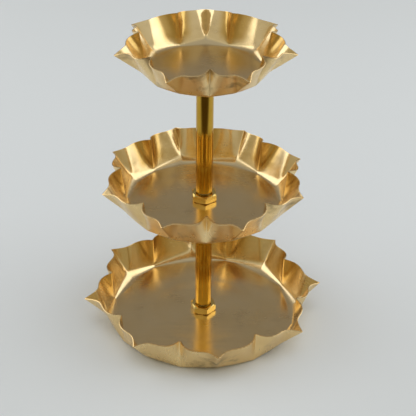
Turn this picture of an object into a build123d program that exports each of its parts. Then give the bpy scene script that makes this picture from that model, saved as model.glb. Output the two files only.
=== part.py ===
from build123d import *
from math import asin, atan2, cos, hypot, pi, radians, sin, sqrt, tan
import os

# ---------------------------------------------------------------- overall sizes (mm)
# Z is up; the origin is on the post axis, on the plane the lowest bowl rests on.
middle_level = 129.0        # resting plane of the middle bowl above the origin
top_level = 265.0           # resting plane of the top bowl above the origin
sheet = 1.0                 # thickness of the pressed brass sheet
fold_share = 0.6            # part of a half petal that an inward fold's mouth takes at the rim
tip_share = 0.42            # part of a half petal that an outward tip's spike takes at the rim
tip_power = 3.1             # how sharply the rim runs out into an outward tip
fold_bend, tip_bend = 0.5, 1.7   # floor bend radius at a fold and at a tip, times the bowl's own
floor_chord = 0.75          # how far the flat floor's edge is drawn straight from fold to fold

# Each bowl: flat floor radius, floor bend radius, rim radius and height at the inward folds,
# rim radius and height at the outward tips, how far out the petal shoulder lies between the
# two, how steeply it leaves the fold, the directions of folds and tips (degrees from the
# front, towards the right) in turn around the rim, and how far each tip was drawn out
# (a share of its full reach).
bottom_size = dict(
    floor=88.0, bend=9.0, fold_r=93.4, fold_z=33.1, tip_r=117.0, tip_z=27.6,
    shoulder=0.43, fold_power=3.2,
    folds=(-145.0, -100.5, -56.0, -13.0, 32.0, 76.0, 118.5, 165.0),
    tips=(-124.5, -80.5, -34.0, 7.5, 54.0, 95.5, 139.0, 188.0),
    reaches=(0.9, 1.0, 0.7, 0.55, 0.9, 0.92, 0.7, 0.8))
middle_size = dict(
    floor=70.5, bend=8.5, fold_r=78.5, fold_z=33.4, tip_r=98.5, tip_z=27.4,
    shoulder=0.54, fold_power=3.2,
    folds=(-137.5, -92.0, -43.5, 2.0, 45.0, 90.0, 135.0, 180.0),
    tips=(-116.0, -69.5, -22.0, 20.5, 67.5, 110.0, 156.0, 197.5),
    reaches=(1.0, 1.0, 0.8, 0.95, 0.9, 0.85, 0.65, 0.85))
top_size = dict(
    floor=51.0, bend=8.0, fold_r=60.7, fold_z=30.6, tip_r=81.5, tip_z=22.6,
    shoulder=0.43, fold_power=3.2,
    folds=(-154.0, -101.0, -49.5, 4.0, 54.5, 104.5, 156.5),
    tips=(-123.0, -75.5, -23.5, 28.0, 79.5, 126.5, 180.0),
    reaches=(0.85, 0.95, 0.8, 0.78, 1.0, 0.95, 0.75))

# low dome pressed up in the floor of the two lower bowls, clear of the bolt head below it
boss_height = 2.2           # underside of the dome's flat top above the resting plane
boss_top_radius = 16.5
boss_foot_radius = 50.0

# ------------------------------------------------------------------- post and fasteners
tube_diameter = 15.9
tube_wall = 1.4
tube_lip = 1.2              # rounding of the outer edge of the tube ends
thread = 8.0                # screw thread, drawn at its full diameter
thread_play = 0.05          # radial room between a screw and its threaded hole
hole_play = 0.3             # radial room between a screw and a plain hole
bush_length = 16.0
bush_step = 1.0             # how far a bush stands out of the bottom end of its tube
bush_neck_diameter = 12.0   # diameter of that standing out step
nut_flats = 22.0
nut_height = 7.5
nut_chamfer = 30.0          # degrees, corner chamfer of the nuts
washer_diameter = 18.0
washer_thickness = 0.6
head_height = 1.3
head_diameter = 16.0
socket_flats = 5.0          # hexagon key socket in the bolt head
flange_diameter = 12.0      # flange of the stud brazed under the top bowl
flange_thickness = 1.6

# ----------------------------------------------------------------------- derived sizes
tube_radius = tube_diameter / 2
tube_bore = tube_diameter - 2 * tube_wall
thread_hole = thread + 2 * thread_play
plain_hole = thread + 2 * hole_play
boss_top = boss_height + sheet
lower_nut_z = boss_top
lower_tube_z = lower_nut_z + nut_height + bush_step
lower_tube_end = middle_level + boss_height
middle_nut_z = middle_level + boss_top
upper_tube_z = middle_nut_z + nut_height + bush_step
upper_tube_end = top_level
top_bush_z = upper_tube_end - flange_thickness - 0.4 - bush_length


def meridian(height, floor, bend, end_r, end_z, inset):
    """Radius at a height of a floor bend of given radius running into a straight wall."""
    reach, rise = end_r - floor, end_z - bend
    lean = atan2(rise, reach) + asin(bend / hypot(reach, rise))
    arc = bend - inset
    arc_end = bend - arc * cos(lean)
    if height <= arc_end:
        return floor + sqrt(max(0.0, arc ** 2 - (bend - height) ** 2))
    return floor + arc * sin(lean) + (height - arc_end) / tan(lean)


def floor_bend(size, share):
    """Radius of the floor's bend at a share of a half petal: tight at folds, easy at tips."""
    return size["bend"] * (fold_bend + (tip_bend - fold_bend) * share)


def floor_edge(size, share):
    """Radius of the flat floor, between a circle and straight chords from fold to fold."""
    half = pi / len(size["folds"])
    chord = cos(half) / cos(half * (1 - share))
    return size["floor"] * (1 - floor_chord * (1 - chord))


def rim_radius(size, reach, share, height, inset):
    """Wall radius at a share of a half petal (0 at the inward fold, 1 at the outward tip)."""
    fold_r, tip_r = size["fold_r"], size["tip_r"]
    floor, bend = floor_edge(size, share), floor_bend(size, share)
    shoulder_r = fold_r + size["shoulder"] * (tip_r - fold_r)
    shoulder_z = size["fold_z"] + size["shoulder"] * (size["tip_z"] - size["fold_z"])
    fold = meridian(height, floor, bend, fold_r, size["fold_z"], inset)
    flank = meridian(height, floor, bend, shoulder_r, shoulder_z, inset)
    tip = meridian(height, floor, bend, tip_r, size["tip_z"], inset)
    # the fold's mouth opens upward as a U, the spike widens evenly from a point
    unopened = max(0.0, 1 - 2 * height / size["fold_z"])
    mouth = max(0.02, fold_share * sqrt(1 - unopened ** 2))
    start = 0.3 * size["bend"]
    grown = min(1.0, max(0.0, (height - start) / (shoulder_z - start)))
    spike = tip_share * (0.3 + 0.7 * grown)
    pulled_in = max(0.0, 1 - share / mouth) ** size["fold_power"]
    run_out = reach * max(0.0, 1 - (1 - share) / spike) ** tip_power
    return flank - (flank - fold) * pulled_in + (tip - flank) * run_out


def half_petal(size, level, fold_at, tip_at, reach, step, inset):
    """Points of one half petal on one ring of the wall, from the fold out to the tip."""
    turn = radians(tip_at - fold_at)
    fall = (size["fold_z"] - size["tip_z"]) / (size["tip_r"] - size["fold_r"])
    points = []
    for share in (0, 0.03, 0.07, 0.13, 0.21, 0.32, 0.46, 0.6, 0.73, 0.83, 0.91, 0.96, 1):
        bend = floor_bend(size, share)
        arc = bend - inset
        bend_end = bend - arc * cos(radians(60))
        if step <= 1:
            height = bend - arc * cos(radians(60 * step))
        else:
            # rings spread evenly up to the rim, which falls from the folds out to the tips
            rim = size["fold_z"]
            for _ in range(8):
                outward = rim_radius(size, reach, share, rim, inset) - size["fold_r"]
                rim = size["fold_z"] - fall * outward
            height = bend_end + (rim - bend_end) * (step - 1)
        radius = rim_radius(size, reach, share, height, inset)
        if inset:
            # the sheet lies askew in plan on the flanks, so it measures thicker radially
            low, high = max(0, share - 0.02), min(1, share + 0.02)
            slope = (rim_radius(size, reach, high, height, inset)
                     - rim_radius(size, reach, low, height, inset)
                     ) * len(size["folds"]) / (pi * (high - low))
            radius -= inset * (sqrt(1 + (slope / radius) ** 2) - 1)
        angle = radians(fold_at) + share * turn
        points.append((radius * sin(angle), -radius * cos(angle), level + height))
    return points


def petal_ring(size, level, step, inset):
    """Closed ring around the wall, one spline for every half petal."""
    folds, tips = size["folds"], size["tips"]
    with BuildLine() as ring:
        for number, (fold_at, tip_at, reach) in enumerate(zip(folds, tips, size["reaches"])):
            next_fold = folds[number + 1] if number + 1 < len(folds) else folds[0] + 360
            Spline(*half_petal(size, level, fold_at, tip_at, reach, step, inset))
            Spline(*reversed(half_petal(size, level, next_fold, tip_at, reach, step, inset)))
    return ring.wires()[0]


def crimped_wall(size, level):
    """Closed skin of the crimped wall: outside, inside and the narrow rim between them."""
    bend_steps, wall_steps = (0, 0.25, 0.5, 0.75, 1), (1.25, 1.5, 1.75, 2)
    steps = bend_steps + wall_steps
    bend_end = len(bend_steps) - 1
    outside = [petal_ring(size, level, step, 0.0) for step in steps]
    inside = [petal_ring(size, level, step, sheet) for step in steps]
    faces = ShapeList()
    for rings in (outside, inside):
        faces += Shell.make_loft(rings[:bend_end + 1]).faces()
        faces += Shell.make_loft(rings[bend_end:], ruled=True).faces()
    faces += Shell.make_loft([outside[-1], inside[-1]], ruled=True).faces()
    return faces, outside[0], inside[0]


def crimped_bowl(size, level, bossed):
    """One pressed bowl: crimped wall and flat floor, with or without the boss and its hole."""
    faces, floor_under, floor_over = crimped_wall(size, level)
    slant = sheet * boss_height / (boss_foot_radius - boss_top_radius) / 2
    outer = boss_foot_radius + 2
    if bossed:
        with BuildPart(mode=Mode.PRIVATE) as boss:
            with BuildSketch(Plane.XZ):
                Polygon((plain_hole / 2, level + boss_height),
                        (boss_top_radius, level + boss_height),
                        (boss_foot_radius, level), (outer, level), (outer, level + sheet),
                        (boss_foot_radius + slant, level + sheet),
                        (boss_top_radius + slant, level + boss_top),
                        (plain_hole / 2, level + boss_top), align=None)
            revolve(axis=Axis.Z)
        faces += [face for face in boss.faces() if face.geom_type != GeomType.CYLINDER
                  or face.radius < boss_foot_radius]
    for ring, height in ((floor_under, level), (floor_over, level + sheet)):
        holes = [Wire([Edge.make_circle(outer, Plane.XY.offset(height))])] if bossed else []
        faces.append(Face(ring, holes))
    add(Solid(Shell(faces)))


with BuildPart() as bottom_bowl:
    crimped_bowl(bottom_size, 0.0, True)

with BuildPart() as middle_bowl:
    crimped_bowl(middle_size, middle_level, True)

with BuildPart() as top_bowl:
    crimped_bowl(top_size, top_level, False)


def post_tube(bottom, end):
    """Round tube with softly rounded outer edges, open at both ends."""
    with BuildSketch(Plane.XY.offset(bottom)) as outside:
        Circle(tube_radius)
    extrude(outside.sketch, amount=end - bottom)
    rims = edges().filter_by(GeomType.CIRCLE).group_by(Axis.Z)
    fillet(rims[0], tube_lip)
    chamfer(rims[-1], 0.3)
    with BuildSketch(Plane.XY.offset(bottom)) as bore:
        Circle(tube_bore / 2)
    extrude(bore.sketch, amount=end - bottom, mode=Mode.SUBTRACT)


with BuildPart() as lower_post_tube:
    post_tube(lower_tube_z, lower_tube_end)

with BuildPart() as upper_post_tube:
    post_tube(upper_tube_z, upper_tube_end)


def threaded_bush(bottom, step_down):
    """Round plug pressed into a tube end, with a threaded hole right through it."""
    with BuildSketch(Plane.XY.offset(bottom)) as plug:
        Circle(tube_bore / 2)
    extrude(plug.sketch, amount=bush_length)
    chamfer(edges().filter_by(GeomType.CIRCLE), 0.4)
    if step_down:
        with BuildSketch(Plane.XY.offset(bottom - bush_step)) as neck:
            Circle(bush_neck_diameter / 2)
        extrude(neck.sketch, amount=bush_step + 1)
    with BuildSketch(Plane.XY.offset(bottom - bush_step)) as hole:
        Circle(thread_hole / 2)
    extrude(hole.sketch, amount=bush_length + 2 * bush_step, mode=Mode.SUBTRACT)


with BuildPart() as lower_post_bottom_bush:
    threaded_bush(lower_tube_z, True)

with BuildPart() as lower_post_top_bush:
    threaded_bush(lower_tube_end - bush_length, False)

with BuildPart() as upper_post_bottom_bush:
    threaded_bush(upper_tube_z, True)

with BuildPart() as upper_post_top_bush:
    threaded_bush(top_bush_z, False)


def hex_nut(bottom, turned):
    """Hexagon nut with chamfered corners and a threaded hole, one corner turned to face."""
    with BuildSketch(Plane.XY.offset(bottom)) as hexagon:
        RegularPolygon(nut_flats / 2, 6, major_radius=False, rotation=turned)
    extrude(hexagon.sketch, amount=nut_height)
    start, stop = nut_flats / 2 - 0.6, nut_flats
    drop = (stop - start) * tan(radians(nut_chamfer))
    end = bottom + nut_height
    with BuildSketch(Plane.XZ) as corners:
        Polygon((start, bottom), (stop, bottom), (stop, bottom + drop), align=None)
        Polygon((start, end), (stop, end), (stop, end - drop), align=None)
    revolve(corners.sketch, axis=Axis.Z, mode=Mode.SUBTRACT)
    with BuildSketch(Plane.XY.offset(bottom)) as hole:
        Circle(thread_hole / 2)
    extrude(hole.sketch, amount=nut_height, mode=Mode.SUBTRACT)
    chamfer(edges().filter_by(GeomType.CIRCLE).filter_by(
        lambda edge: abs(edge.radius - thread_hole / 2) < 0.01), 0.5)


with BuildPart() as lower_nut:
    hex_nut(lower_nut_z, 18 - 90)

with BuildPart() as middle_nut:
    hex_nut(middle_nut_z, 6 - 90)


with BuildPart() as base_washer:
    with BuildSketch(Plane.XY.offset(boss_height - washer_thickness)):
        Circle(washer_diameter / 2)
        Circle(plain_hole / 2, mode=Mode.SUBTRACT)
    extrude(amount=washer_thickness)


def threaded_rod(bottom, length):
    """Round threaded shank, its thread drawn as the outer cylinder."""
    with BuildSketch(Plane.XY.offset(bottom)) as shank:
        Circle(thread / 2)
    extrude(shank.sketch, amount=length)


with BuildPart() as base_bolt:
    head_z = boss_height - washer_thickness - head_height
    with BuildSketch(Plane.XY.offset(head_z)):
        Circle(head_diameter / 2)
    extrude(amount=head_height)
    chamfer(edges().filter_by(GeomType.CIRCLE).group_by(Axis.Z)[0], 0.5)
    threaded_rod(head_z + head_height, lower_tube_z + bush_length - 4 - head_z - head_height)
    chamfer(edges().filter_by(GeomType.CIRCLE).group_by(Axis.Z)[-1], 0.8)
    with BuildSketch(Plane.XY.offset(head_z)):
        RegularPolygon(socket_flats / 2, 6, major_radius=False)
    extrude(amount=head_height + 1.2, mode=Mode.SUBTRACT)

with BuildPart() as middle_stud:
    stud_z = lower_tube_end - bush_length + 3
    threaded_rod(stud_z, upper_tube_z + bush_length - 3 - stud_z)
    chamfer(edges().filter_by(GeomType.CIRCLE), 0.8)

with BuildPart() as top_stud:
    top_stud_z = top_bush_z + 3
    threaded_rod(top_stud_z, top_level - flange_thickness - top_stud_z)
    chamfer(edges().filter_by(GeomType.CIRCLE).group_by(Axis.Z)[0], 0.8)
    with BuildSketch(Plane.XY.offset(top_level - flange_thickness)):
        Circle(flange_diameter / 2)
    extrude(amount=flange_thickness)


pieces = {
    "bottom_bowl": bottom_bowl, "middle_bowl": middle_bowl, "top_bowl": top_bowl,
    "lower_post_tube": lower_post_tube, "upper_post_tube": upper_post_tube,
    "lower_post_bottom_bush": lower_post_bottom_bush,
    "lower_post_top_bush": lower_post_top_bush,
    "upper_post_bottom_bush": upper_post_bottom_bush,
    "upper_post_top_bush": upper_post_top_bush,
    "lower_nut": lower_nut, "middle_nut": middle_nut,
    "base_washer": base_washer, "base_bolt": base_bolt,
    "middle_stud": middle_stud, "top_stud": top_stud}
os.makedirs("parts", exist_ok=True)
for label, piece in pieces.items():
    piece.part.label = label
    export_step(piece.part, f"parts/{label}.step")
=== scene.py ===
"""Serving stand of three crimped brass bowls on a slim post, dressed around its fixed frame."""
import logging
import math
from dataclasses import dataclass
from enum import Enum
from typing import Any, Iterable, Sequence

import bmesh
import bpy
from mathutils import Matrix, Vector


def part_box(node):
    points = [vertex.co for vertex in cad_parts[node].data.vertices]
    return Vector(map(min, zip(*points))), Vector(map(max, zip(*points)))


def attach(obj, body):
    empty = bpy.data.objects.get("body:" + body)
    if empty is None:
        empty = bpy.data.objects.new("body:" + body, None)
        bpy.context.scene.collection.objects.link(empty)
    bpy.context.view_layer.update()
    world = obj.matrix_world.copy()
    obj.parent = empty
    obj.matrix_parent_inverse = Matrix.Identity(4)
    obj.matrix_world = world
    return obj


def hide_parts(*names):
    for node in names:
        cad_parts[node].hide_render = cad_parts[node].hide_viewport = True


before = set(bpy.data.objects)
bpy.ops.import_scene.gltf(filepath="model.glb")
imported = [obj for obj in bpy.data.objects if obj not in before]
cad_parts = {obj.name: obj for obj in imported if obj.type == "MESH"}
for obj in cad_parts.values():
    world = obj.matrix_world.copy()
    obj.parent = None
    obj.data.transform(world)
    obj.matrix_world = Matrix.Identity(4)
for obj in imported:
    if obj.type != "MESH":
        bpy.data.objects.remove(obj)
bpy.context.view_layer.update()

log = logging.getLogger("cake_stand")

MM = 0.001
SHEET = 1.0 * MM
HOLE_RADIUS = 4.3 * MM
BOSS_HEIGHT = 2.2 * MM
BOSS_TOP_RADIUS = 16.3 * MM
BOSS_FOOT_RADIUS = 50.5 * MM
PLAIN_FOOT_RADIUS = 30.0 * MM
MOST_PETALS = 8
Colour = tuple[float, float, float]


# ------------------------------------------------------------------------------ node graphs


class Graph:
    """Adds and wires the nodes of one node tree."""

    def __init__(self, tree: bpy.types.NodeTree) -> None:
        """Keep the tree that nodes are added to."""
        self.tree = tree

    def feed(self, socket: bpy.types.NodeSocket, value: Any) -> None:
        """Link an output into a socket, or set the socket's own value.

        Args:
            socket: The input that is fed.
            value: An output socket, or a plain value.
        """
        if isinstance(value, bpy.types.NodeSocket):
            self.tree.links.new(value, socket)
        elif value is not None:
            socket.default_value = value

    def node(self, kind: str, inputs: dict[Any, Any] | None = None,
             **settings: Any) -> bpy.types.Node:
        """Add a node.

        Args:
            kind: The node's type name.
            inputs: Values or outputs for its inputs, by name or number.
            **settings: Properties of the node itself, set before its inputs.

        Returns:
            The new node.
        """
        made = self.tree.nodes.new(kind)
        for name, value in settings.items():
            setattr(made, name, value)
        for key, value in (inputs or {}).items():
            self.feed(made.inputs[key], value)
        return made

    def math(self, operation: str, *values: Any, clamp: bool = False) -> bpy.types.NodeSocket:
        """Add a Math node.

        Args:
            operation: The sum to do, such as ADD.
            *values: Its one to three operands.
            clamp: Whether to hold the result between 0 and 1.

        Returns:
            The node's output.
        """
        made = self.node("ShaderNodeMath", dict(enumerate(values)), operation=operation,
                         use_clamp=clamp)
        return made.outputs[0]

    def spread(self, value: Any, low: Any, high: Any, to_low: Any = 0.0, to_high: Any = 1.0,
               smooth: bool = False) -> bpy.types.NodeSocket:
        """Add a clamped Map Range node.

        Args:
            value: The value to map.
            low: Start of the range it comes from.
            high: End of the range it comes from.
            to_low: Start of the range it goes to.
            to_high: End of the range it goes to.
            smooth: Whether to ease in and out of the range's ends.

        Returns:
            The mapped value.
        """
        made = self.node("ShaderNodeMapRange", {0: value, 1: low, 2: high, 3: to_low, 4: to_high},
                         interpolation_type="SMOOTHSTEP" if smooth else "LINEAR")
        return made.outputs[0]


def new_group(name: str, inputs: Sequence[tuple[str, str]],
              outputs: Sequence[tuple[str, str]]) -> tuple[Graph, bpy.types.Node, bpy.types.Node]:
    """Make a geometry node group with named sockets.

    Args:
        name: The group's name.
        inputs: Name and socket type of each input.
        outputs: Name and socket type of each output.

    Returns:
        The graph, its group input and its group output.
    """
    tree = bpy.data.node_groups.new(name, "GeometryNodeTree")
    for way, sockets in (("INPUT", inputs), ("OUTPUT", outputs)):
        for label, kind in sockets:
            tree.interface.new_socket(label, in_out=way, socket_type=kind)
    graph = Graph(tree)
    return graph, graph.node("NodeGroupInput"), graph.node("NodeGroupOutput")


# --------------------------------------------------------------------------------- finishes


class Work(Enum):
    """How a surface was worked: the fineness of its lines along x, y and z, per metre."""

    BRUSHED = (22.0, 500.0, 500.0)
    PRESSED = (260.0, 260.0, 30.0)
    SHEARED = (30.0, 900.0, 900.0)
    DRAWN = (500.0, 500.0, 12.0)
    BUFFED = (300.0, 300.0, 300.0)
    TURNED = (120.0, 120.0, 1500.0)


@dataclass(frozen=True)
class MetalFinish:
    """A metal finish: colour, gloss, the marks that making and handling left, and a painted
    reflection in the folds.

    The depths of work lines and dimples are in millimetres.
    """

    name: str
    work: Work
    colour: Colour
    deep_colour: Colour
    roughness: float
    roughness_spread: float = 0.08
    stain: float = 0.0
    stain_colour: Colour = (0.16, 0.10, 0.04)
    line_depth: float = 0.0
    dimple: float = 0.0
    # colour multiplied into the fold pockets: a painted reflection of the fold's two sides in each
    # other, not the metal's own colour
    painted_fold_reflection_tint: Colour | None = None

    # fineness of the noises that every finish mixes, per metre
    CLOUD_SCALE = (26.0, 26.0, 26.0)
    FINE_SCALE = (140.0, 140.0, 140.0)
    STAIN_SCALE = (38.0, 38.0, 52.0)
    # stretches of the noises over which tone, gloss, lines and stains change
    TONE_RANGE = (0.3, 0.7)
    GLOSS_RANGE = (0.25, 0.75)
    LINE_RANGE = (0.35, 0.65)
    STAIN_RANGE = (0.62, 0.86)
    # what work lines and stains add to the roughness
    LINE_ROUGHNESS = 0.03
    STAIN_ROUGHNESS = 0.12
    # how much the fine noise frays a stain's edge, and adds to the dimples
    FRAY = 0.18
    FINE_DIMPLES = 0.25

    def build(self) -> bpy.types.Material:
        """Make the material.

        Returns:
            The node-based material.
        """
        material = bpy.data.materials.new(self.name)
        material.use_nodes = True
        tree = material.node_tree
        tree.nodes.clear()
        graph = Graph(tree)
        place = graph.node("ShaderNodeTexCoord").outputs["Object"]
        metal = graph.node("ShaderNodeBsdfPrincipled", {"Metallic": 1.0, "IOR": 1.5})
        graph.node("ShaderNodeOutputMaterial", {"Surface": metal.outputs[0]})

        cloud = self._noise(graph, place, self.CLOUD_SCALE, 4.0)
        fine = self._noise(graph, place, self.FINE_SCALE, 3.0)
        lines = self._noise(graph, place, self.work.value, 3.0)
        tone = graph.node("ShaderNodeMix", {0: graph.spread(cloud, *self.TONE_RANGE),
                                            6: (*self.colour, 1), 7: (*self.deep_colour, 1)},
                          data_type="RGBA").outputs[2]
        blotch = self._stains(graph, place, fine)
        if blotch is not None:
            tone = graph.node("ShaderNodeMix", {0: blotch, 6: tone, 7: (*self.stain_colour, 1)},
                              data_type="RGBA").outputs[2]
        # painted reflection: the fold pockets are darkened to the deeper gold that their two sides
        # would mirror into each other
        if self.painted_fold_reflection_tint is not None:
            painted_reflection_share = graph.node("ShaderNodeAttribute", attribute_name="painted_fold_reflection").outputs["Fac"]
            tone = graph.node("ShaderNodeMix", {0: painted_reflection_share, 6: tone, 7: (*self.painted_fold_reflection_tint, 1)},
                              data_type="RGBA", blend_type="MULTIPLY").outputs[2]
        graph.feed(metal.inputs["Base Color"], tone)

        rough = graph.spread(cloud, *self.GLOSS_RANGE, self.roughness - self.roughness_spread / 2,
                             self.roughness + self.roughness_spread / 2)
        rough = graph.math("ADD", rough, graph.spread(
            lines, *self.LINE_RANGE, -self.LINE_ROUGHNESS, self.LINE_ROUGHNESS))
        if blotch is not None:
            rough = graph.math("ADD", rough, graph.math("MULTIPLY", blotch,
                                                        self.STAIN_ROUGHNESS))
        graph.feed(metal.inputs["Roughness"], rough)
        graph.feed(metal.inputs["Normal"], self._relief(graph, lines, fine, cloud))
        return material

    @staticmethod
    def _noise(graph: Graph, place: bpy.types.NodeSocket, scale: tuple[float, float, float],
               detail: float) -> bpy.types.NodeSocket:
        """Add a noise that may be drawn out along an axis.

        Args:
            graph: The graph to add to.
            place: The coordinates it reads.
            scale: Its fineness along each axis.
            detail: Its octaves.

        Returns:
            The noise value.
        """
        mapped = graph.node("ShaderNodeMapping", {"Vector": place, "Scale": scale})
        made = graph.node("ShaderNodeTexNoise", {"Vector": mapped.outputs[0], "Scale": 1.0,
                                                 "Detail": detail, "Roughness": 0.55})
        return made.outputs[0]

    def _stains(self, graph: Graph, place: bpy.types.NodeSocket,
                fine: bpy.types.NodeSocket) -> bpy.types.NodeSocket | None:
        """Darker tarnish in soft-edged spots, or None for a clean finish.

        Args:
            graph: The graph to add to.
            place: The coordinates it reads.
            fine: A fine noise that frays the spots' edges.

        Returns:
            How strongly the tarnish shows.
        """
        if not self.stain:
            return None
        spots = self._noise(graph, place, self.STAIN_SCALE, 5.0)
        frayed = graph.math("ADD", spots, graph.math("MULTIPLY", fine, self.FRAY))
        return graph.spread(frayed, *self.STAIN_RANGE, 0.0, self.stain, smooth=True)

    def _relief(self, graph: Graph, lines: bpy.types.NodeSocket, fine: bpy.types.NodeSocket,
                cloud: bpy.types.NodeSocket) -> bpy.types.NodeSocket:
        """Add work lines and dimples as bump.

        Args:
            graph: The graph to add to.
            lines: Drawn-out noise of the work lines.
            fine: Fine noise.
            cloud: Broad noise.

        Returns:
            The bumped normal.
        """
        first = graph.node("ShaderNodeBump", {"Strength": 1.0, "Distance": self.line_depth * MM,
                                              "Height": lines})
        height = graph.math("ADD", cloud, graph.math("MULTIPLY", fine, self.FINE_DIMPLES))
        second = graph.node("ShaderNodeBump", {"Strength": 1.0, "Distance": self.dimple * MM,
                                               "Height": height, "Normal": first.outputs[0]})
        return second.outputs[0]


BOWL_INSIDE = MetalFinish("bowl_inside_satin", Work.BRUSHED, (0.87, 0.70, 0.41),
                          (0.82, 0.63, 0.33), 0.23, 0.05, stain=0.3,
                          stain_colour=(0.44, 0.33, 0.18), line_depth=0.0008, dimple=0.02,
                          painted_fold_reflection_tint=(0.83, 0.71, 0.43))
BOWL_OUTSIDE = MetalFinish("bowl_outside_pressed", Work.PRESSED, (0.98, 0.75, 0.39),
                           (0.83, 0.60, 0.28), 0.30, 0.1, stain=0.85,
                           stain_colour=(0.24, 0.165, 0.08), line_depth=0.004, dimple=0.12)
BOWL_RIM = MetalFinish("bowl_rim_cut", Work.SHEARED, (0.84, 0.62, 0.31), (0.74, 0.52, 0.24),
                       0.26, 0.06, line_depth=0.002, dimple=0.02)
POST = MetalFinish("post_polished", Work.DRAWN, (0.64, 0.39, 0.06), (0.52, 0.30, 0.03),
                   0.13, 0.05, stain=0.12, stain_colour=(0.30, 0.16, 0.04),
                   line_depth=0.001, dimple=0.015)
NUT = MetalFinish("nut_polished", Work.BUFFED, (0.78, 0.58, 0.20), (0.68, 0.48, 0.14),
                  0.16, 0.06, stain=0.15, line_depth=0.002, dimple=0.02)
FASTENER = MetalFinish("fastener_turned", Work.TURNED, (0.82, 0.60, 0.28), (0.70, 0.48, 0.20),
                       0.26, 0.08, stain=0.25, line_depth=0.004, dimple=0.02)
BUSH = MetalFinish("bush_turned_steel", Work.TURNED, (0.56, 0.55, 0.53), (0.46, 0.45, 0.43),
                   0.3, 0.08, stain=0.15, stain_colour=(0.15, 0.12, 0.09),
                   line_depth=0.004, dimple=0.02)


class Finishes:
    """Builds each finish once and hands it out."""

    def __init__(self) -> None:
        """Start with nothing built."""
        self._made: dict[str, bpy.types.Material] = {}

    def get(self, finish: MetalFinish) -> bpy.types.Material:
        """Return the finish's material, building it the first time."""
        if finish.name not in self._made:
            self._made[finish.name] = finish.build()
        return self._made[finish.name]


# ------------------------------------------------------------------------ the crimped bowls


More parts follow.
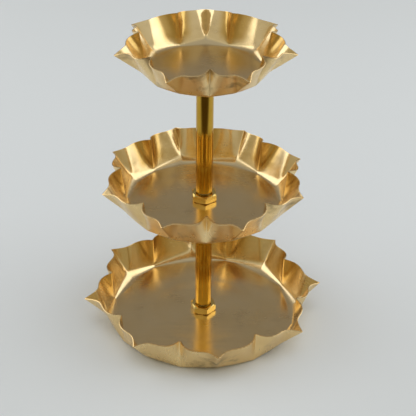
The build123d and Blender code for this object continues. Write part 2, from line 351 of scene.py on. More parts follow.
class BowlRule:
    """The geometry node trees that turn a plain grid into a crimped bowl."""

    SIZES = ("Level", "Floor Radius", "Bend Radius", "Fold Radius", "Fold Height", "Tip Radius",
             "Tip Height", "Shoulder", "Fold Power", "Fold Share", "Tip Power", "Tip Share",
             "Crease", "Fold Bend", "Tip Bend", "Floor Chord", "Waviness", "Seed", "Hole Radius",
             "Boss Height", "Boss Top Radius", "Boss Foot Radius")

    # shares of the grid's height where the boss's slope starts and ends, and where the floor
    # and then the bend ends
    BOSS_START, BOSS_END = 0.06, 0.16
    FLOOR_END = 0.34
    BEND_END = 0.54
    # how far the slope's own rings reach past its corners
    BOSS_PAST = 0.6 * MM
    # how far round the bend its own rings go; a flatter wall starts before that
    BEND_ARC = math.radians(60)
    # how strongly columns crowd towards the creases
    CROWDING = 0.1
    # share of a fold's height over which its mouth opens, and the mouth's least width
    MOUTH_RISE = 0.5
    MOUTH_LEAST = 0.02
    # a spike's width at its foot, as a share of its width at the rim, and where its foot is,
    # as a share of the bend's radius
    SPIKE_FOOT = 0.3
    # shares of the half petal where a fold's painted reflection, a deeper gold, starts and is full,
    # and the share of the grid's height over which it grows above the bend
    POCKET_START, POCKET_FULL, POCKET_RISE = 0.62, 0.3, 0.12
    # points closer than this are one
    WELD = 0.02 * MM
    # fineness of the hand-bent waves, and the heights between which they grow
    WAVE_SCALE = 34.0
    WAVE_START, WAVE_FULL = 0.5 * MM, 14 * MM

    def __init__(self) -> None:
        """Build the trees."""
        self.meridian = self._meridian()
        self.tree = self._bowl()

    @staticmethod
    def _meridian() -> bpy.types.NodeTree:
        """Radius of a floor bend running into a straight wall, at a height.

        Returns:
            The node group.
        """
        number = "NodeSocketFloat"
        g, given, result = new_group(
            "Meridian", [(name, number) for name in
                         ("Height", "Floor Radius", "Bend Radius", "End Radius", "End Height")],
            [("Radius", number)])
        height, floor, bend, end_r, end_z = given.outputs[:5]
        reach = g.math("SUBTRACT", end_r, floor)
        rise = g.math("SUBTRACT", end_z, bend)
        far = g.math("SQRT", g.math("MULTIPLY_ADD", rise, rise, g.math("MULTIPLY", reach, reach)))
        lean = g.math("ADD", g.math("ARCTAN2", rise, reach),
                      g.math("ARCSINE", g.math("DIVIDE", bend, far)))
        arc_end = g.math("SUBTRACT", bend, g.math("MULTIPLY", bend, g.math("COSINE", lean)))
        left = g.math("SUBTRACT", bend, height)
        across = g.math("SUBTRACT", g.math("MULTIPLY", bend, bend),
                        g.math("MULTIPLY", left, left))
        on_arc = g.math("ADD", floor, g.math("SQRT", g.math("MAXIMUM", across, 0.0)))
        beyond = g.math("DIVIDE", g.math("SUBTRACT", height, arc_end), g.math("TANGENT", lean))
        straight = g.math("ADD", g.math("MULTIPLY_ADD", bend, g.math("SINE", lean), floor), beyond)
        on = g.math("LESS_THAN", height, arc_end)
        g.feed(result.inputs[0], g.math("MULTIPLY_ADD", on, g.math("SUBTRACT", on_arc, straight),
                                        straight))
        return g.tree

    def _bowl(self) -> bpy.types.NodeTree:
        """The bowl's own tree: a grid bent round into floor, bend and crimped wall.

        Returns:
            The node group.
        """
        number = "NodeSocketFloat"
        sockets = [("Petals", "NodeSocketInt"), ("Columns", "NodeSocketInt"),
                   ("Rings", "NodeSocketInt")]
        sockets += [(name, number) for name in self.SIZES]
        for kind in ("Fold", "Tip", "Reach"):
            sockets += [(f"{kind} {step}", number) for step in range(MOST_PETALS)]
        sockets.append(("Metal", "NodeSocketMaterial"))
        g, given, result = new_group("Crimped Bowl", sockets, [("Bowl", "NodeSocketGeometry")])
        val = {socket.name: socket for socket in given.outputs if socket.name}

        grid = g.node("GeometryNodeMeshGrid", {"Size X": 1.0, "Size Y": 1.0,
                                               "Vertices X": val["Columns"],
                                               "Vertices Y": val["Rings"]})
        place = g.node("ShaderNodeSeparateXYZ", {0: g.node("GeometryNodeInputPosition").outputs[0]})
        around = g.math("MULTIPLY", g.math("ADD", place.outputs[0], 0.5), val["Petals"])
        up = g.math("ADD", place.outputs[1], 0.5)
        angle, share, reach = self._angle(g, val, around)
        edge = self._floor_edge(g, val, share)
        floor_r = self._floor_radius(g, val, edge, up)
        wall_z, wall_r = self._wall(g, val, share, reach, edge, up)

        in_wall = g.math("GREATER_THAN", up, self.FLOOR_END)
        boss = g.spread(floor_r, val["Boss Top Radius"], val["Boss Foot Radius"],
                        val["Boss Height"], 0.0)
        radius = g.node("ShaderNodeMix", {0: in_wall, 2: floor_r, 3: wall_r},
                        data_type="FLOAT").outputs[0]
        height = g.node("ShaderNodeMix", {0: in_wall, 2: boss, 3: wall_z},
                        data_type="FLOAT").outputs[0]
        spot = g.node("ShaderNodeCombineXYZ", {
            0: g.math("MULTIPLY", radius, g.math("SINE", angle)),
            1: g.math("MULTIPLY", radius, g.math("MULTIPLY", g.math("COSINE", angle), -1.0)),
            2: g.math("ADD", height, val["Level"])}).outputs[0]
        # painted reflection: the deep gold that the two sides of a fold give each other, multiplied
        # into the colour
        painted_fold_reflection = g.math("MULTIPLY", g.spread(share, self.POCKET_START, self.POCKET_FULL,
                                             smooth=True),
                        g.spread(up, self.BEND_END, self.BEND_END + self.POCKET_RISE))
        marked = g.node("GeometryNodeStoreNamedAttribute",
                        {"Geometry": grid.outputs["Mesh"], "Name": "painted_fold_reflection", "Value": painted_fold_reflection})
        shaped = g.node("GeometryNodeSetPosition", {"Geometry": marked.outputs[0],
                                                    "Position": spot}).outputs[0]
        welded = g.node("GeometryNodeMergeByDistance", {"Geometry": shaped,
                                                        "Distance": self.WELD}).outputs[0]
        waved = g.node("GeometryNodeSetPosition",
                       {"Geometry": welded, "Offset": self._handwork(g, val)}).outputs[0]
        real = g.node("GeometryNodeRealizeInstances", {0: waved}).outputs[0]
        dressed = g.node("GeometryNodeSetMaterial", {"Geometry": real,
                                                     "Material": val["Metal"]}).outputs[0]
        g.feed(result.inputs[0], dressed)
        return g.tree

    def _angle(self, g: Graph, val: dict[str, bpy.types.NodeSocket],
               around: bpy.types.NodeSocket) -> tuple[bpy.types.NodeSocket, ...]:
        """Direction, share of the half petal and reach of its tip for each grid column.

        Args:
            g: The graph to add to.
            val: The group's inputs by name.
            around: Column place, one unit for each petal.

        Returns:
            The direction in radians, the share (0 at a fold and 1 at a tip), and how far the
            column's tip was drawn out.
        """
        last = g.math("SUBTRACT", val["Petals"], 1.0)
        petal = g.math("MINIMUM", g.math("FLOOR", around), last)
        along = g.math("SUBTRACT", around, petal)
        following = g.math("ADD", petal, 1.0)
        wraps = g.math("GREATER_THAN", following, g.math("ADD", last, 0.5))
        after = g.math("SUBTRACT", following, g.math("MULTIPLY", wraps, val["Petals"]))

        def pick(kind: str, index: bpy.types.NodeSocket) -> bpy.types.NodeSocket:
            """Choose one petal's own value by number."""
            switch = g.node("GeometryNodeIndexSwitch", data_type="FLOAT")
            while len(switch.index_switch_items) < MOST_PETALS:
                switch.index_switch_items.new()
            g.feed(switch.inputs[0], index)
            for step in range(MOST_PETALS):
                g.feed(switch.inputs[step + 1], val[f"{kind} {step}"])
            return switch.outputs[0]

        tip = pick("Tip", petal)
        next_fold = g.math("MULTIPLY_ADD", wraps, 2 * math.pi, pick("Fold", after))
        second = g.math("GREATER_THAN", along, 0.5)
        fold = g.node("ShaderNodeMix", {0: second, 2: pick("Fold", petal), 3: next_fold},
                      data_type="FLOAT").outputs[0]
        even = g.math("SUBTRACT", 1.0, g.math("ABSOLUTE", g.math(
            "SUBTRACT", g.math("MULTIPLY", along, 2.0), 1.0)))
        # columns stand closer together near the creases
        closer = g.math("MULTIPLY", g.math("SINE", g.math("MULTIPLY", even, 2 * math.pi)),
                        self.CROWDING)
        share = g.math("SUBTRACT", even, closer)
        angle = g.node("ShaderNodeMix", {0: share, 2: fold, 3: tip}, data_type="FLOAT").outputs[0]
        return angle, share, pick("Reach", petal)

    @staticmethod
    def _floor_edge(g: Graph, val: dict[str, bpy.types.NodeSocket],
                    share: bpy.types.NodeSocket) -> bpy.types.NodeSocket:
        """Radius of the flat floor's edge, drawn nearly straight from fold to fold.

        Args:
            g: The graph to add to.
            val: The group's inputs by name.
            share: Share of the half petal.

        Returns:
            The radius.
        """
        half = g.math("DIVIDE", math.pi, val["Petals"])
        from_tip = g.math("MULTIPLY", half, g.math("SUBTRACT", 1.0, share))
        chord = g.math("DIVIDE", g.math("COSINE", half), g.math("COSINE", from_tip))
        drawn = g.math("MULTIPLY", g.math("SUBTRACT", 1.0, chord), val["Floor Chord"])
        return g.math("MULTIPLY", val["Floor Radius"], g.math("SUBTRACT", 1.0, drawn))

    def _floor_radius(self, g: Graph, val: dict[str, bpy.types.NodeSocket],
                      edge: bpy.types.NodeSocket,
                      up: bpy.types.NodeSocket) -> bpy.types.NodeSocket:
        """Radius of the rings of the flat floor, closer together over the boss's slope.

        Args:
            g: The graph to add to.
            val: The group's inputs by name.
            edge: Radius of the floor's edge.
            up: Row place of the grid, 0 to 1.

        Returns:
            The radius.
        """
        before = g.math("SUBTRACT", val["Boss Top Radius"], self.BOSS_PAST)
        behind = g.math("ADD", val["Boss Foot Radius"], self.BOSS_PAST)
        inner = g.spread(up, 0.0, self.BOSS_START, val["Hole Radius"], before)
        slope = g.spread(up, self.BOSS_START, self.BOSS_END, 0.0,
                         g.math("SUBTRACT", behind, before))
        outer = g.spread(up, self.BOSS_END, self.FLOOR_END, 0.0,
                         g.math("SUBTRACT", edge, behind))
        return g.math("ADD", g.math("ADD", inner, slope), outer)

    def _wall(self, g: Graph, val: dict[str, bpy.types.NodeSocket], share: bpy.types.NodeSocket,
              reach: bpy.types.NodeSocket, edge: bpy.types.NodeSocket,
              up: bpy.types.NodeSocket) -> tuple[bpy.types.NodeSocket, bpy.types.NodeSocket]:
        """Height and radius of bend and wall.

        Args:
            g: The graph to add to.
            val: The group's inputs by name.
            share: Share of the half petal.
            reach: How far the petal's tip was drawn out, 1 for all the way.
            edge: Radius of the flat floor's edge.
            up: Row place of the grid, 0 to 1.

        Returns:
            The height above the bowl's floor plane, and the radius.
        """
        def rounded(value: bpy.types.NodeSocket) -> bpy.types.NodeSocket:
            """Ease a share that starts at a crease, so the crease has a small radius."""
            square = g.math("MULTIPLY_ADD", value, value,
                            g.math("MULTIPLY", val["Crease"], val["Crease"]))
            return g.math("SUBTRACT", g.math("SQRT", square), val["Crease"])

        from_fold = rounded(share)
        from_tip = rounded(g.math("SUBTRACT", 1.0, share))

        def pull_in(width: Any) -> bpy.types.NodeSocket:
            """Depth of the inward fold, 1 at its crease, for a width of its mouth."""
            part = g.math("SUBTRACT", 1.0, g.math("DIVIDE", from_fold, width), clamp=True)
            return g.math("POWER", part, val["Fold Power"])

        def run_out(width: Any) -> bpy.types.NodeSocket:
            """Reach of the outward spike, 1 at its crease, for a width of its mouth."""
            part = g.math("SUBTRACT", 1.0, g.math("DIVIDE", from_tip, width), clamp=True)
            return g.math("MULTIPLY", g.math("POWER", part, val["Tip Power"]), reach)

        # how far out the rim lies sets how high it stands
        rim_reach = g.math("ADD", g.math("MULTIPLY", val["Shoulder"], g.math(
            "SUBTRACT", 1.0, pull_in(val["Fold Share"]))), g.math(
            "MULTIPLY", g.math("SUBTRACT", 1.0, val["Shoulder"]), run_out(val["Tip Share"])))
        drop = g.math("SUBTRACT", val["Tip Height"], val["Fold Height"])
        rim_z = g.math("MULTIPLY_ADD", rim_reach, drop, val["Fold Height"])

        step = g.spread(up, self.FLOOR_END, self.BEND_END, 0.0, self.BEND_ARC)
        # the floor's bend is tight at a fold and easy at a tip
        bend = g.math("MULTIPLY", val["Bend Radius"], g.node(
            "ShaderNodeMix", {0: share, 2: val["Fold Bend"], 3: val["Tip Bend"]},
            data_type="FLOAT").outputs[0])
        bend_z = g.math("MULTIPLY", bend, g.math("SUBTRACT", 1.0, g.math("COSINE", step)))
        wall = g.spread(up, self.BEND_END, 1.0)
        height = g.math("MULTIPLY_ADD", wall, g.math("SUBTRACT", rim_z, bend_z), bend_z)

        mid_r = g.math("MULTIPLY_ADD", val["Shoulder"], g.math(
            "SUBTRACT", val["Tip Radius"], val["Fold Radius"]), val["Fold Radius"])
        mid_z = g.math("MULTIPLY_ADD", val["Shoulder"], drop, val["Fold Height"])

        def line(end_r: Any, end_z: Any) -> bpy.types.NodeSocket:
            """Radius of one meridian at this height."""
            made = g.node("GeometryNodeGroup", node_tree=self.meridian)
            for key, value in enumerate((height, edge, bend, end_r, end_z)):
                g.feed(made.inputs[key], value)
            return made.outputs[0]

        fold = line(val["Fold Radius"], val["Fold Height"])
        flank = line(mid_r, mid_z)
        tip = line(val["Tip Radius"], val["Tip Height"])

        # the fold's mouth opens quickly into a U; the spike widens evenly from a point
        grown = g.math("SUBTRACT", 1.0, g.math("DIVIDE", height, g.math(
            "MULTIPLY", val["Fold Height"], self.MOUTH_RISE)), clamp=True)
        mouth = g.math("SQRT", g.math("SUBTRACT", 1.0, g.math("MULTIPLY", grown, grown)))
        mouth = g.math("MAXIMUM", g.math("MULTIPLY", mouth, val["Fold Share"]),
                       self.MOUTH_LEAST)
        spike = g.spread(height, g.math("MULTIPLY", val["Bend Radius"], self.SPIKE_FOOT), rim_z,
                         self.SPIKE_FOOT, 1.0)
        spike = g.math("MULTIPLY", spike, val["Tip Share"])
        radius = g.math("SUBTRACT", flank, g.math("MULTIPLY", g.math("SUBTRACT", flank, fold),
                                                  pull_in(mouth)))
        radius = g.math("MULTIPLY_ADD", g.math("SUBTRACT", tip, flank), run_out(spike), radius)
        return height, radius

    def _handwork(self, g: Graph,
                  val: dict[str, bpy.types.NodeSocket]) -> bpy.types.NodeSocket:
        """Slight unevenness of a wall bent by hand, square to the sheet.

        Args:
            g: The graph to add to.
            val: The group's inputs by name.

        Returns:
            The offset of each point.
        """
        place = g.node("GeometryNodeInputPosition").outputs[0]
        normal = g.node("GeometryNodeInputNormal").outputs[0]
        shifted = g.node("ShaderNodeVectorMath", {0: place, 1: g.node(
            "ShaderNodeCombineXYZ", {0: val["Seed"]}).outputs[0]}, operation="ADD").outputs[0]
        noise = g.node("ShaderNodeTexNoise", {"Vector": shifted, "Scale": self.WAVE_SCALE,
                                              "Detail": 2.0, "Roughness": 0.45}).outputs[0]
        high = g.math("SUBTRACT", g.node("ShaderNodeSeparateXYZ", {0: place}).outputs[2],
                      val["Level"])
        part = g.spread(high, self.WAVE_START, self.WAVE_FULL, 0.0, 1.0, smooth=True)
        part = g.math("MULTIPLY", g.math("SUBTRACT", noise, 0.5), part)
        offset = g.node("ShaderNodeVectorMath", {0: normal, "Scale": g.math(
            "MULTIPLY", part, val["Waviness"])}, operation="SCALE")
        return offset.outputs[0]


@dataclass
class CrimpedBowl:
    """One bowl; lengths in millimetres, directions in degrees from the front to the right."""

    name: str
    level: float
    floor: float
    bend: float
    fold_r: float
    fold_z: float
    tip_r: float
    tip_z: float
    shoulder: float
    fold_power: float
    folds: tuple[float, ...]
    tips: tuple[float, ...]
    reaches: tuple[float, ...]
    fold_share: float = 0.6
    tip_share: float = 0.42
    tip_power: float = 3.1
    fold_bend: float = 0.5
    tip_bend: float = 1.7
    floor_chord: float = 0.75
    crease: float = 0.022
    waviness: float = 0.9
    seed: float = 0.0
    bossed: bool = True
    columns_per_petal: int = 48
    rings: int = 96
    rim_round: float = 0.3
    rim_angle: float = 62.0

    def inputs(self, metal: bpy.types.Material) -> dict[str, Any]:
        """Values for the rule's named inputs, in metres and radians."""
        values: dict[str, Any] = {
            "Petals": len(self.folds), "Columns": len(self.folds) * self.columns_per_petal + 1,
            "Rings": self.rings, "Level": self.level * MM, "Floor Radius": self.floor * MM,
            "Bend Radius": self.bend * MM, "Fold Radius": self.fold_r * MM,
            "Fold Height": self.fold_z * MM, "Tip Radius": self.tip_r * MM,
            "Tip Height": self.tip_z * MM, "Shoulder": self.shoulder,
            "Fold Power": self.fold_power, "Fold Share": self.fold_share,
            "Tip Power": self.tip_power, "Tip Share": self.tip_share, "Crease": self.crease,
            "Fold Bend": self.fold_bend, "Tip Bend": self.tip_bend,
            "Floor Chord": self.floor_chord, "Waviness": self.waviness * MM, "Seed": self.seed,
            "Hole Radius": HOLE_RADIUS if self.bossed else 0.0,
            "Boss Height": BOSS_HEIGHT if self.bossed else 0.0, "Boss Top Radius": BOSS_TOP_RADIUS,
            "Boss Foot Radius": BOSS_FOOT_RADIUS if self.bossed else PLAIN_FOOT_RADIUS,
            "Metal": metal}
        for step, (fold, tip, reach) in enumerate(zip(self.folds, self.tips, self.reaches)):
            values[f"Fold {step}"], values[f"Tip {step}"] = math.radians(fold), math.radians(tip)
            values[f"Reach {step}"] = reach
        return values

    def build(self, rule: BowlRule, finishes: Finishes) -> bpy.types.Object:
        """Make the bowl and put it in the CAD bowl's place.

        Args:
            rule: The shared bowl trees.
            finishes: The materials.

        Returns:
            The finished bowl.
        """
        metals = [finishes.get(f) for f in (BOWL_OUTSIDE, BOWL_INSIDE, BOWL_RIM)]
        skin = evaluate_rule(rule.tree, f"{self.name}_skin", self.inputs(metals[0]))
        face_down(skin)
        piece = add_object(f"{self.name}_pressed", skin, metals)
        thick = piece.modifiers.new("Sheet", "SOLIDIFY")
        thick.thickness, thick.offset = SHEET, -1.0
        thick.use_even_offset = thick.use_quality_normals = True
        thick.material_offset, thick.material_offset_rim = 1, 2
        soft = piece.modifiers.new("Rim", "BEVEL")
        soft.width, soft.segments = self.rim_round * MM, 2
        soft.limit_method, soft.angle_limit = "ANGLE", math.radians(self.rim_angle)
        flatten(piece)
        settle(piece, "bowl_brass", self.name)
        return piece


# --------------------------------------------------------------------- post and fasteners


def lathe(profile: Sequence[tuple[float, float]], columns: int = 96) -> bpy.types.Mesh:
    """Turn a profile about the post's axis.

    Args:
        profile: Radius and height of each ring, in metres.
        columns: Points on each ring.

    Returns:
        The mesh, closed if the profile's ends meet.
    """
    rings = [[(r * math.cos(a), r * math.sin(a), z)
              for a in (2 * math.pi * step / columns for step in range(columns))]
             for r, z in profile]
    return ring_mesh(rings)


def ring_mesh(rings: Sequence[Sequence[tuple[float, float, float]]]) -> bpy.types.Mesh:
    """Join rings of equally many points into a closed band of quads.

    Args:
        rings: The rings in order; the last joins the first.

    Returns:
        The mesh.
    """
    count, columns = len(rings), len(rings[0])
    points = [point for ring in rings for point in ring]
    faces = []
    for row in range(count):
        above = (row + 1) % count
        for step in range(columns):
            after = (step + 1) % columns
            faces.append((row * columns + step, row * columns + after,
                          above * columns + after, above * columns + step))
    mesh = bpy.data.meshes.new("rings")
    mesh.from_pydata(points, [], faces)
    shell = bmesh.new()
    shell.from_mesh(mesh)
    bmesh.ops.recalc_face_normals(shell, faces=shell.faces)
    shell.to_mesh(mesh)
    shell.free()
    mesh.shade_smooth()
    return mesh


@dataclass
class PostTube:
    """One round tube of the post, softly rounded at its lower end."""

    name: str
    wall: float = 1.4
    lip: float = 1.2
    lip_steps: int = 8
    bore_chamfer: tuple[float, float] = (0.15, 0.2)
    top_chamfer: float = 0.3
    rows: int = 24
    sharp_angle: float = 40.0

    def build(self, finishes: Finishes) -> bpy.types.Object:
        """Make the tube in its CAD node's place and return it."""
        low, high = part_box(self.name)
        radius = (high[0] - low[0]) / 2
        bore = radius - self.wall * MM
        lip = self.lip * MM
        out, rise = self.bore_chamfer
        profile = [(bore, high[2]), (bore, low[2] + rise * MM), (bore + out * MM, low[2])]
        for step in range(self.lip_steps + 1):
            turn = math.radians(90 * step / self.lip_steps)
            profile.append((radius - lip + lip * math.sin(turn),
                            low[2] + lip - lip * math.cos(turn)))
        start, stop = low[2] + lip, high[2] - self.top_chamfer * MM
        profile += [(radius, start + (stop - start) * row / self.rows)
                    for row in range(1, self.rows + 1)]
        profile += [(radius - self.top_chamfer * MM, high[2])]
        piece = add_object(self.name + "_turned", lathe(profile), [finishes.get(POST)])
        sharpen(piece, self.sharp_angle)
        settle(piece, "post_brass", self.name)
        return piece


@dataclass
class HexNut:
    """A hexagon nut with curved corner chamfers and a threaded hole."""

    name: str
    corner: float
    flats: float = 22.0
    thread_r: float = 4.05
    thread_depth: float = 0.5
    pitch: float = 1.25
    chamfer: float = 30.0
    chamfer_inset: float = 0.6
    edge_round: float = 0.35
    edge_angle: float = 24.0
    sharp_angle: float = 25.0
    columns_per_side: int = 20

    def build(self, finishes: Finishes) -> bpy.types.Object:
        """Make the nut in its CAD node's place and return it."""
        low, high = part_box(self.name)
        half, bore = self.flats / 2 * MM, self.thread_r * MM
        groove = bore + self.thread_depth * MM
        start = half - self.chamfer_inset * MM
        fall = math.tan(math.radians(self.chamfer))
        columns = 6 * self.columns_per_side
        turns = [2 * math.pi * step / columns for step in range(columns)]

        def side(turn: float) -> float:
            """Radius of the hexagon's side in a direction from a corner."""
            return half / math.cos(math.radians(30) - turn % math.radians(60))

        def ring(radius: Any, height: Any) -> list[tuple[float, float, float]]:
            """Points of one ring, with radius and height given for each direction."""
            made = []
            for turn in turns:
                aim = turn + math.radians(self.corner - 90)
                r = radius(turn)
                made.append((r * math.cos(aim), r * math.sin(aim), height(r)))
            return made

        rings = []
        for end, way in ((low[2], 1.0), (high[2], -1.0)):
            def chamfered(r: float, end: float = end, way: float = way) -> float:
                """Height of the chamfered end at a radius."""
                return end + way * max(0.0, r - start) * fall

            part = [ring(lambda t: bore,
                         lambda r, e=end, w=way: e + w * self.thread_depth * MM),
                    ring(lambda t: groove, lambda r, e=end: e),
                    ring(lambda t: start, lambda r, e=end: e)]
            part += [ring(lambda t, k=k: start + (side(t) - start) * k, chamfered)
                     for k in (0.5, 1.0)]
            rings += part if way > 0 else part[::-1]
        pitch = self.pitch * MM
        turns_in = int((high[2] - low[2] - 2 * self.thread_depth * MM) / pitch)
        top = high[2] - self.thread_depth * MM
        for step in range(turns_in):
            middle = top - (step + 0.5) * pitch
            rings.append(ring(lambda t: groove, lambda r, z=middle: z))
            rings.append(ring(lambda t: bore, lambda r, z=middle - pitch / 2: z))
        piece = add_object(self.name + "_cut", ring_mesh(rings), [finishes.get(NUT)])
        sharpen(piece, self.sharp_angle)
        soft = piece.modifiers.new("Edges", "BEVEL")
        soft.width, soft.segments = self.edge_round * MM, 3
        soft.limit_method, soft.angle_limit = "ANGLE", math.radians(self.edge_angle)
        flatten(piece)
        settle(piece, "nut_brass", self.name)
        return piece


# ---------------------------------------------------------------------------- small helpers


def evaluate_rule(tree: bpy.types.NodeTree, name: str, values: dict[str, Any]) -> bpy.types.Mesh:
    """Run a geometry node tree and return its result as a plain mesh.

    Args:
        tree: The tree.
        name: Name for the mesh.
        values: Values for the tree's named inputs.

    Returns:
        The mesh.
    """
    carrier = bpy.data.objects.new(name + "_rule", bpy.data.meshes.new(name + "_rule"))
    bpy.context.scene.collection.objects.link(carrier)
    modifier = carrier.modifiers.new("Rule", "NODES")
    modifier.node_group = tree
    for item in tree.interface.items_tree:
        if item.item_type == "SOCKET" and item.in_out == "INPUT" and item.name in values:
            modifier[item.identifier] = values[item.name]
    graph = bpy.context.evaluated_depsgraph_get()
    mesh = bpy.data.meshes.new_from_object(carrier.evaluated_get(graph))
    mesh.name = name
    bpy.data.objects.remove(carrier)
    return mesh


def face_down(mesh: bpy.types.Mesh) -> None:
    """Turn the skin's faces so that the floor's point down and out, and shade it smooth.

    Args:
        mesh: The open skin of the bowl's underside.
    """
    skin = bmesh.new()
    skin.from_mesh(mesh)
    lowest = min(skin.faces, key=lambda face: face.calc_center_median().xy.length)
    if lowest.normal.z > 0:
        bmesh.ops.reverse_faces(skin, faces=skin.faces)
    skin.to_mesh(mesh)
    skin.free()
    mesh.shade_smooth()


def add_object(name: str, mesh: bpy.types.Mesh,
               metals: Iterable[bpy.types.Material]) -> bpy.types.Object:
    """Link a mesh into the scene as an object with these materials.

    Args:
        name: The piece's name.
        mesh: Its mesh.
        metals: Its materials, in slot order.

    Returns:
        The object.
    """
    mesh.name = name
    mesh.materials.clear()
    for metal in metals:
        mesh.materials.append(metal)
    piece = bpy.data.objects.new(name, mesh)
    bpy.context.scene.collection.objects.link(piece)
    return piece


def flatten(piece: bpy.types.Object) -> None:
    """Apply the piece's modifiers to its mesh."""
    graph = bpy.context.evaluated_depsgraph_get()
    mesh = bpy.data.meshes.new_from_object(piece.evaluated_get(graph))
    piece.modifiers.clear()
    mesh.name = piece.name
    piece.data = mesh


def sharpen(piece: bpy.types.Object, angle: float) -> None:
    """Mark the edges that are sharper than an angle in degrees."""
    piece.data.set_sharp_from_angle(angle=math.radians(angle))


def settle(piece: bpy.types.Object, slot: str, *nodes: str) -> None:
    """Tie a finished piece to the frame and report it.

    Args:
        piece: The finished piece.
        slot: The record's material slot; not used.
        *nodes: The CAD nodes it stands for.
    """
    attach(piece, "root")
    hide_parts(*nodes)
    triangles = sum(len(face.vertices) - 2 for face in piece.data.polygons)
    log.info("%s: %d triangles, stands for %s", piece.name, triangles, ", ".join(nodes))


# -------------------------------------------------------------------------------- the studio


@dataclass(frozen=True)
class Softbox:
    """A rectangular soft light that faces the stand; lengths in metres, power in watts."""

    name: str
    place: tuple[float, float, float]
    size: tuple[float, float]
    watts: float
    mirrored: bool = True

    def hang(self, aim_height: float) -> None:
        """Hang the light.

        Args:
            aim_height: Height of the point on the post that it faces.
        """
        lamp = bpy.data.lights.new(self.name, "AREA")
        lamp.shape, lamp.size, lamp.size_y, lamp.energy = "RECTANGLE", *self.size, self.watts
        box = bpy.data.objects.new(self.name, lamp)
        box.location = self.place
        aim = Vector((0, 0, aim_height)) - Vector(self.place)
        box.rotation_euler = aim.to_track_quat("-Z", "Y").to_euler()
        box.visible_glossy = self.mirrored
        bpy.context.scene.collection.objects.link(box)


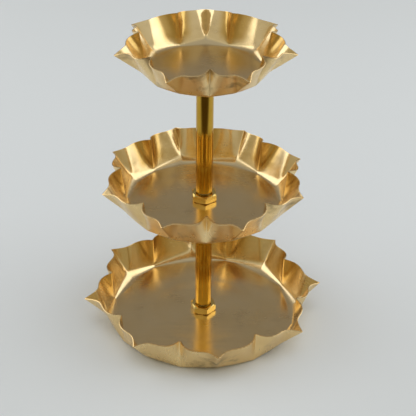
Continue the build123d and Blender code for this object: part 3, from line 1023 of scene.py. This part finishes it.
@dataclass
class Studio:
    """Pale floor, soft light and the camera.

    Lengths are in metres, but lens and sensor in millimetres. Angles are in degrees.
    """

    floor_half: float = 8.0
    floor_colour: Colour = (0.745, 0.79, 0.83)
    # painted reflection: the colour, and the start and end of the band in front of the stand, where
    # the floor shows dark to glossy rays only
    reflected_dark_colour: Colour = (0.10, 0.075, 0.04)
    reflected_dark_from: float = -0.2
    reflected_dark_to: float = -0.37
    # the top light only reaches the floor: no metal mirrors it
    softboxes: tuple[Softbox, ...] = (
        Softbox("left", (-1.24, 0.38, 0.88), (1.5, 0.95), 6.2),
        Softbox("right", (1.26, 0.28, 0.88), (1.6, 1.05), 7.0),
        Softbox("top", (0.1, -0.2, 2.4), (1.8, 1.8), 12.7, mirrored=False))
    aim_height: float = 0.12
    behind_high: Colour = (0.245, 0.23, 0.215)
    behind_low: Colour = (0.41, 0.39, 0.355)
    ahead_low: Colour = (0.35, 0.29, 0.15)
    ahead_high: Colour = (0.60, 0.58, 0.51)
    overhead: Colour = (0.42, 0.43, 0.44)
    backdrop: Colour = (0.40, 0.43, 0.45)
    sensor: float = 36.0
    view_reach: float = 50.0
    distance: float = 1.148
    elevation: float = 32.38
    lens: float = 105.2
    roll: float = 0.63
    target: tuple[float, float, float] = (0.00376, 0.0, 0.1214)

    def build(self) -> None:
        """Set up everything round the stand."""
        self.floor()
        self.lights()
        self.world()
        self.camera()

    def floor(self) -> None:
        """Lay a large pale floor under the stand, with a painted dark reflection in front that only
        glossy rays see.
        """
        mesh = bpy.data.meshes.new("floor")
        size = self.floor_half
        mesh.from_pydata([(-size, -size, 0), (size, -size, 0), (size, size, 0), (-size, size, 0)],
                         [], [(0, 1, 2, 3)])
        material = bpy.data.materials.new("pale_floor")
        material.use_nodes = True
        g = Graph(material.node_tree)
        paper = material.node_tree.nodes["Principled BSDF"]
        paper.inputs["Roughness"].default_value = 0.9
        paper.inputs["Specular IOR Level"].default_value = 0.1
        # painted reflection: beyond a line in front of the stand the floor turns dark for glossy
        # rays only, so the metal mirrors a dark band that the camera never sees
        place = g.node("ShaderNodeSeparateXYZ",
                       {0: g.node("ShaderNodeTexCoord").outputs["Object"]})
        far = g.spread(place.outputs[1], self.reflected_dark_from, self.reflected_dark_to, smooth=True)
        seen = g.math("MULTIPLY", far, g.node("ShaderNodeLightPath").outputs["Is Glossy Ray"])
        shade = g.node("ShaderNodeMix", {0: seen, 6: (*self.floor_colour, 1),
                                         7: (*self.reflected_dark_colour, 1)}, data_type="RGBA")
        g.feed(paper.inputs["Base Color"], shade.outputs[2])
        mesh.materials.append(material)
        ground = bpy.data.objects.new("floor", mesh)
        bpy.context.scene.collection.objects.link(ground)

    def lights(self) -> None:
        """Hang the soft lights."""
        for box in self.softboxes:
            box.hang(self.aim_height)

    def world(self) -> None:
        """Surround the stand with a soft room that is dimmer behind it than in front."""
        world = bpy.data.worlds.new("room")
        world.use_nodes = True
        tree = world.node_tree
        tree.nodes.clear()
        g = Graph(tree)
        way = g.node("ShaderNodeSeparateXYZ",
                     {0: g.node("ShaderNodeTexCoord").outputs["Generated"]})
        high = way.outputs[2]

        def blend(share: Any, first: Any, second: Any) -> bpy.types.NodeSocket:
            """Mix two colours by a share of the second."""
            ends = [(*end, 1) if isinstance(end, tuple) else end for end in (first, second)]
            return g.node("ShaderNodeMix", {0: share, 6: ends[0], 7: ends[1]},
                          data_type="RGBA").outputs[2]

        # each blend runs between two heights, or depths, on the unit sphere of directions
        behind = blend(g.spread(high, 0.36, 0.05, smooth=True), self.behind_high, self.behind_low)
        ahead = blend(g.spread(high, 0.3, 0.62, smooth=True), self.ahead_low, self.ahead_high)
        glow = blend(g.spread(way.outputs[1], 0.35, -0.3, smooth=True), behind, ahead)
        glow = blend(g.spread(high, 0.78, 0.95, smooth=True), glow, self.overhead)
        seen = g.node("ShaderNodeLightPath").outputs["Is Camera Ray"]
        back = g.node("ShaderNodeBackground", {"Color": blend(seen, glow, self.backdrop)})
        g.node("ShaderNodeOutputWorld", {"Surface": back.outputs[0]})
        bpy.context.scene.world = world

    def camera(self) -> None:
        """Set the camera up in front of and above the stand."""
        data = bpy.data.cameras.new("camera")
        data.lens, data.sensor_width = self.lens, self.sensor
        data.clip_end = self.view_reach
        eye = bpy.data.objects.new("camera", data)
        rise = math.radians(self.elevation)
        target = Vector(self.target)
        eye.location = target + self.distance * Vector((0, -math.cos(rise), math.sin(rise)))
        aim = (target - eye.location).to_track_quat("-Z", "Y").to_matrix()
        roll = Matrix.Rotation(math.radians(self.roll), 3, Vector((0, 0, 1)))
        eye.rotation_euler = (aim @ roll).to_euler()
        bpy.context.scene.collection.objects.link(eye)
        bpy.context.scene.camera = eye
        bpy.context.scene.view_settings.view_transform = "Standard"


# ------------------------------------------------------------------------------------- main


BOWLS = (
    CrimpedBowl("bottom_bowl", 0.0, 88.0, 9.0, 93.4, 33.1, 117.0, 27.6, 0.43, 3.2,
                (-145.0, -100.5, -56.0, -13.0, 32.0, 76.0, 118.5, 165.0),
                (-124.5, -80.5, -34.0, 7.5, 54.0, 95.5, 139.0, 188.0),
                (0.9, 1.0, 0.7, 0.55, 0.9, 0.92, 0.7, 0.8), seed=1.7),
    CrimpedBowl("middle_bowl", 129.0, 70.5, 8.5, 78.5, 33.4, 98.5, 27.4, 0.54, 3.2,
                (-137.5, -92.0, -43.5, 2.0, 45.0, 90.0, 135.0, 180.0),
                (-116.0, -69.5, -22.0, 20.5, 67.5, 110.0, 156.0, 197.5),
                (1.0, 1.0, 0.8, 0.95, 0.9, 0.85, 0.65, 0.85), seed=5.2),
    CrimpedBowl("top_bowl", 265.0, 51.0, 8.0, 60.7, 30.6, 81.5, 22.6, 0.43, 3.2,
                (-154.0, -101.0, -49.5, 4.0, 54.5, 104.5, 156.5),
                (-123.0, -75.5, -23.5, 28.0, 79.5, 126.5, 180.0),
                (0.85, 0.95, 0.8, 0.78, 1.0, 0.95, 0.75), seed=9.4, bossed=False,
                columns_per_petal=52),
)
TUBES = (PostTube("lower_post_tube"), PostTube("upper_post_tube"))
NUTS = (HexNut("lower_nut", 18.0), HexNut("middle_nut", 6.0))
KEPT_NODES = {
    "base_bolt": FASTENER, "base_washer": FASTENER, "top_stud": BUSH, "middle_stud": BUSH,
    "lower_post_bottom_bush": BUSH, "lower_post_top_bush": BUSH,
    "upper_post_bottom_bush": BUSH, "upper_post_top_bush": BUSH}


def dress_kept_nodes(finishes: Finishes) -> None:
    """Give the CAD nodes that stay their own finishes.

    Args:
        finishes: The materials.
    """
    for name, finish in KEPT_NODES.items():
        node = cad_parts[name]
        for slot in node.material_slots:
            slot.material = finishes.get(finish)
        if not node.material_slots:
            node.data.materials.append(finishes.get(finish))
        log.info("%s: kept, finish %s", name, finish.name)


def main() -> None:
    """Build every piece in order."""
    logging.basicConfig(level=logging.INFO, format="%(name)s %(message)s")
    finishes = Finishes()
    rule = BowlRule()
    for bowl in BOWLS:
        bowl.build(rule, finishes)
    for tube in TUBES:
        tube.build(finishes)
    for nut in NUTS:
        nut.build(finishes)
    dress_kept_nodes(finishes)
    Studio().build()


if __name__ == "__main__":
    main()
